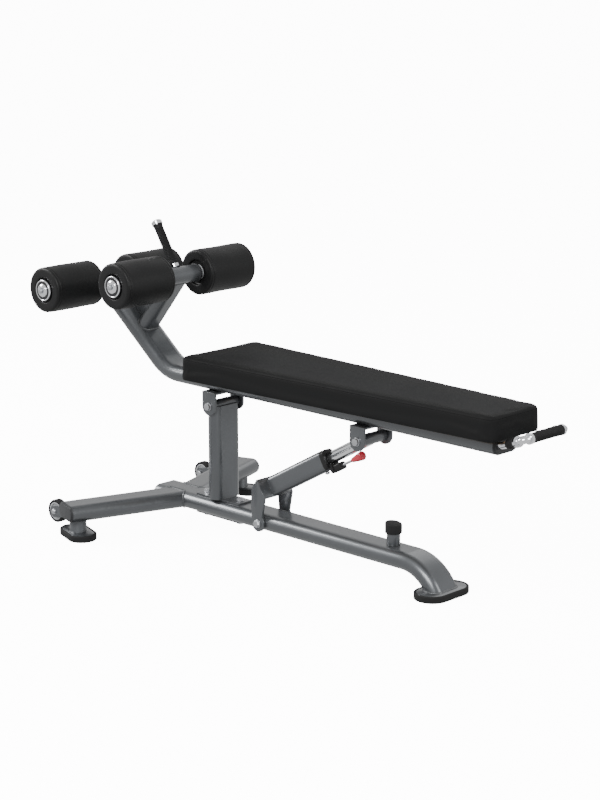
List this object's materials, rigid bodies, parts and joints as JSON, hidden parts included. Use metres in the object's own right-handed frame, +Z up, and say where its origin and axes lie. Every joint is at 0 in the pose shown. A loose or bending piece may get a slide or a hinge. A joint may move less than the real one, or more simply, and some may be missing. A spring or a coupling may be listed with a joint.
{
  "type": "decline sit-up bench",
  "caption": "Decline sit-up bench with a tapered pad on a tilting frame, foam leg rollers, telescopic locking strut, upright and head-end hand grips and transport wheels.",
  "frame": {"origin": "on the floor under the middle of the bench's length, on its middle plane", "axes": "+X towards the head end, +Y to the left of a person lying on it, +Z up"},
  "size_m": [1.7762, 0.7806, 0.9145],
  "materials": {
    "frame_paint": "metallic grey powder coat",
    "bright_steel": "zinc plated",
    "chrome": "bright",
    "rubber": "moulded",
    "plug_plastic": "moulded",
    "wheel_plastic": "moulded",
    "guide_plastic": "moulded",
    "bush_bronze": "machined",
    "foam": "closed-cell foam with a skin",
    "grip_rubber": "fine matte",
    "pad_vinyl": "fine grained vinyl",
    "pad_board": "plywood",
    "knob_red": "gloss",
    "spring_steel": "oiled"
  },
  "bodies": {
    "base": {"spine": "frame_paint", "front_arm_right": "frame_paint", "front_arm_left": "frame_paint", "base_end_caps": "plug_plastic", "front_foot_posts": "frame_paint", "front_foot_pads": "rubber", "rear_foot_plate": "frame_paint", "rear_foot_pad": "rubber", "post": "frame_paint", "post_clamp_plate": "frame_paint", "post_bolts": "bright_steel", "post_bushes": "bush_bronze", "bumper_post": "frame_paint", "bumper_cap": "rubber", "strut_foot_bush": "bush_bronze", "strut_foot_bolt": "bright_steel", "wheel_brackets": "frame_paint", "wheel_bolts": "bright_steel"},
    "bench": {"main_tube": "frame_paint", "main_tube_end_cap": "plug_plastic", "crossbar_branch": "frame_paint", "branch_gusset": "frame_paint", "front_crossbar": "frame_paint", "rear_crossbar": "frame_paint", "front_spindle": "chrome", "rear_spindle": "chrome", "roller_end_caps": "chrome", "roller_cap_bolts": "bright_steel", "roller_collars": "plug_plastic", "top_handle_bar": "frame_paint", "top_handle_grip": "grip_rubber", "top_handle_trim": "chrome", "rear_handle_bar": "frame_paint", "rear_handle_grips": "grip_rubber", "rear_handle_collars": "chrome", "pad_cushion": "pad_vinyl", "pad_board": "pad_board", "pad_brackets": "frame_paint", "pad_screws": "bright_steel", "pivot_brackets": "frame_paint", "pivot_bolts": "bright_steel"},
    "strut_outer_body": {"strut_outer": "frame_paint", "strut_guide": "guide_plastic", "release_housing": "guide_plastic", "lock_pin": "bright_steel", "release_spring": "spring_steel"},
    "strut_slide_body": {"strut_slide": "chrome"},
    "release_body": {"release_knob": "knob_red"},
    "wheel_right": {"wheel_tyre_right": "rubber", "wheel_hub_right": "wheel_plastic"},
    "wheel_left": {"wheel_tyre_left": "rubber", "wheel_hub_left": "wheel_plastic"},
    "roller_front_right": {"foam_roller_front_right": "foam", "roller_core_front_right": "wheel_plastic"},
    "roller_front_left": {"foam_roller_front_left": "foam", "roller_core_front_left": "wheel_plastic"},
    "roller_rear_right": {"foam_roller_rear_right": "foam", "roller_core_rear_right": "wheel_plastic"},
    "roller_rear_left": {"foam_roller_rear_left": "foam", "roller_core_rear_left": "wheel_plastic"}
  },
  "joints": [
    {"name": "bench_tilt", "type": "hinge", "parent": "base", "child": "bench", "pos_m": [-0.318, 0, 0.395], "axis": [0, 1, 0], "range_deg": [0, 21]},
    {"name": "strut_pivot", "type": "hinge", "parent": "base", "child": "strut_outer_body", "pos_m": [-0.116, 0, 0.08], "axis": [0, 1, 0], "range_deg": [0, 25.32]},
    {"name": "strut_telescope", "type": "slide", "parent": "strut_outer_body", "child": "strut_slide_body", "axis": [0.8721, 0, 0.4894], "range_m": [-0.1386, 0]},
    {"name": "release_pull", "type": "slide", "parent": "strut_outer_body", "child": "release_body", "axis": [0.8721, 0, 0.4894], "range_m": [0, 0.008], "stiffness_N_per_m": 300, "springref_m": -0.01, "deforming": ["release_spring"]},
    {"name": "wheel_spin_right", "type": "hinge", "parent": "base", "child": "wheel_right", "pos_m": [-0.724, -0.303, 0.047], "axis": [0, 1, 0], "continuous": true},
    {"name": "wheel_spin_left", "type": "hinge", "parent": "base", "child": "wheel_left", "pos_m": [-0.724, 0.303, 0.047], "axis": [0, 1, 0], "continuous": true},
    {"name": "roller_spin_front_right", "type": "hinge", "parent": "bench", "child": "roller_front_right", "pos_m": [-0.81969, -0.165, 0.70337], "axis": [0, 1, 0], "continuous": true},
    {"name": "roller_spin_front_left", "type": "hinge", "parent": "bench", "child": "roller_front_left", "pos_m": [-0.81969, 0.165, 0.70337], "axis": [0, 1, 0], "continuous": true},
    {"name": "roller_spin_rear_right", "type": "hinge", "parent": "bench", "child": "roller_rear_right", "pos_m": [-0.50469, -0.165, 0.75436], "axis": [0, 1, 0], "continuous": true},
    {"name": "roller_spin_rear_left", "type": "hinge", "parent": "bench", "child": "roller_rear_left", "pos_m": [-0.50469, 0.165, 0.75436], "axis": [0, 1, 0], "continuous": true}
  ],
  "couplings": [
    {"joint": "strut_pivot", "follows": "bench_tilt", "ratio": 1.205},
    {"joint": "strut_telescope", "follows": "bench_tilt", "m_per_rad": -0.378}
  ]
}
